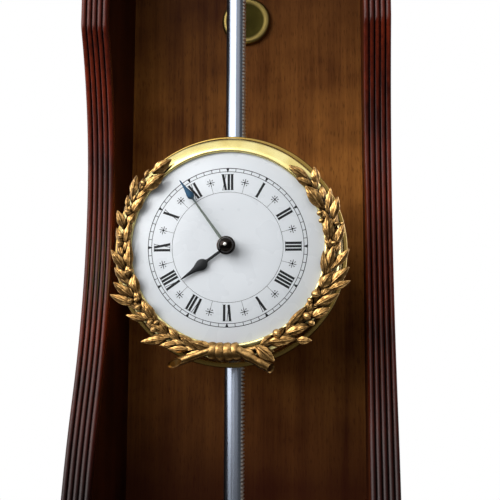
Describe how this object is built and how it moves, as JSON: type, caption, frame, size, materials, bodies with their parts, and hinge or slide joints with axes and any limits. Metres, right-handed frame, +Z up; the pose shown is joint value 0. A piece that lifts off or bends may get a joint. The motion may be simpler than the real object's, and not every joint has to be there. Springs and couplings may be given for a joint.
{
  "type": "gravity rack clock",
  "caption": "Wall clock that runs by its own weight: a brass drum with enamel dial and laurel wreath climbs down a toothed steel rod in a reeded mahogany case.",
  "frame": {"origin": "centre of the hanging hole, in the back face of the backboard", "axes": "+X to the right of someone facing the dial, +Y into the wall along the hanging hole, +Z up"},
  "size_m": [0.21, 0.1235, 0.66],
  "materials": {
    "mahogany": "French-polished mahogany, straight vertical grain",
    "reeded_mahogany": "dark French-polished mahogany",
    "polished_brass": "polished and lacquered",
    "gilt_brass": "antiqued gilding, darker in the hollows",
    "polished_steel": "bright polished",
    "white_enamel": "glossy white fired enamel on copper",
    "movement_brass": "fine grained",
    "movement_steel": "turned and polished",
    "ballast_metal": "as cast",
    "black_steel": "black gloss",
    "blued_steel": "heat blued and polished"
  },
  "bodies": {
    "case": {"backboard": "mahogany", "left_side": "mahogany", "right_side": "mahogany", "left_reeded_moulding": "reeded_mahogany", "right_reeded_moulding": "reeded_mahogany", "top_board": "mahogany", "base_board": "mahogany", "cornice": "mahogany", "cap_board": "mahogany", "plinth": "mahogany", "hanging_hole_cap": "polished_brass", "rack": "polished_steel", "lower_rod_socket": "polished_brass", "upper_rod_socket": "polished_brass"},
    "clock_head": {"drum_shell": "polished_brass", "front_bezel": "polished_brass", "dial": "white_enamel", "rear_cover": "polished_brass", "upper_guide_bush": "polished_brass", "lower_guide_bush": "polished_brass", "wreath_left_branch": "gilt_brass", "wreath_right_branch": "gilt_brass", "wreath_binding": "gilt_brass", "front_plate": "movement_brass", "back_plate": "movement_brass", "plate_pillars": "movement_brass", "pinion_cock": "movement_brass", "left_ballast": "ballast_metal", "right_ballast": "ballast_metal", "idler_stud": "movement_steel", "minute_wheel_post": "movement_steel", "hairspring_stud": "movement_steel"},
    "great_arbor": {"rack_pinion": "movement_steel", "ratchet_wheel": "movement_steel", "great_wheel": "movement_brass", "click_screw": "movement_steel"},
    "click": {"click": "movement_steel"},
    "idler": {"idler_wheel": "movement_brass"},
    "centre": {"centre_arbor": "movement_steel", "centre_wheel": "movement_brass", "cannon_pinion": "movement_steel", "minute_hand": "blued_steel", "hand_boss": "blued_steel"},
    "third": {"third_arbor": "movement_steel", "third_wheel": "movement_brass"},
    "fourth": {"fourth_arbor": "movement_steel", "fourth_wheel": "movement_brass"},
    "escape": {"escape_arbor": "movement_steel", "escape_wheel": "movement_brass"},
    "lever": {"pallet_lever": "movement_steel"},
    "balance": {"balance_wheel": "movement_brass", "balance_staff": "movement_steel", "hairspring": "movement_steel"},
    "minute": {"minute_wheel": "movement_brass"},
    "hour": {"hour_wheel": "movement_brass", "hour_hand": "black_steel"}
  },
  "joints": [
    {"name": "head_slide", "type": "slide", "parent": "case", "child": "clock_head", "axis": [0, 0, 1], "range_m": [-0.25, 0.16]},
    {"name": "rack_pinion_turn", "type": "hinge", "parent": "clock_head", "child": "great_arbor", "pos_m": [0.00961, -0.112, -0.192], "axis": [0, 1, 0], "continuous": true},
    {"name": "idler_turn", "type": "hinge", "parent": "clock_head", "child": "idler", "pos_m": [-0.00945, -0.112, -0.17491], "axis": [0, 1, 0], "continuous": true},
    {"name": "centre_turn", "type": "hinge", "parent": "clock_head", "child": "centre", "pos_m": [0, -0.112, -0.162], "axis": [0, 1, 0], "continuous": true},
    {"name": "third_turn", "type": "hinge", "parent": "clock_head", "child": "third", "pos_m": [-0.01591, -0.112, -0.14609], "axis": [0, 1, 0], "continuous": true},
    {"name": "fourth_turn", "type": "hinge", "parent": "clock_head", "child": "fourth", "pos_m": [0.00065, -0.112, -0.13653], "axis": [0, 1, 0], "continuous": true},
    {"name": "escape_turn", "type": "hinge", "parent": "clock_head", "child": "escape", "pos_m": [0.01545, -0.112, -0.14191], "axis": [0, 1, 0], "continuous": true},
    {"name": "minute_wheel_turn", "type": "hinge", "parent": "clock_head", "child": "minute", "pos_m": [0.006, -0.112, -0.15161], "axis": [0, 1, 0], "continuous": true},
    {"name": "hour_turn", "type": "hinge", "parent": "clock_head", "child": "hour", "pos_m": [0, -0.112, -0.162], "axis": [0, 1, 0], "continuous": true},
    {"name": "click_lift", "type": "hinge", "parent": "great_arbor", "child": "click", "pos_m": [0.02351, -0.112, -0.1888], "axis": [0, -1, 0], "range_deg": [0, 14], "stiffness_Nm_per_rad": 0.0005},
    {"name": "lever_rock", "type": "hinge", "parent": "clock_head", "child": "lever", "pos_m": [0.02255, -0.112, -0.14601], "axis": [0, 1, 0], "range_deg": [-5, 5]},
    {"name": "balance_swing", "type": "hinge", "parent": "clock_head", "child": "balance", "pos_m": [0.03338, -0.112, -0.15226], "axis": [0, 1, 0], "range_deg": [-135, 135], "stiffness_Nm_per_rad": 0.0000125, "deforming": ["hairspring"]}
  ],
  "couplings": [
    {"joint": "rack_pinion_turn", "follows": "head_slide", "rad_per_m": -187},
    {"joint": "idler_turn", "follows": "head_slide", "rad_per_m": 311.67},
    {"joint": "centre_turn", "follows": "head_slide", "rad_per_m": -467.5},
    {"joint": "third_turn", "follows": "head_slide", "rad_per_m": 3740},
    {"joint": "fourth_turn", "follows": "head_slide", "rad_per_m": -28050},
    {"joint": "escape_turn", "follows": "head_slide", "rad_per_m": 224400},
    {"joint": "minute_wheel_turn", "follows": "head_slide", "rad_per_m": 155.83},
    {"joint": "hour_turn", "follows": "head_slide", "rad_per_m": -38.958}
  ]
}
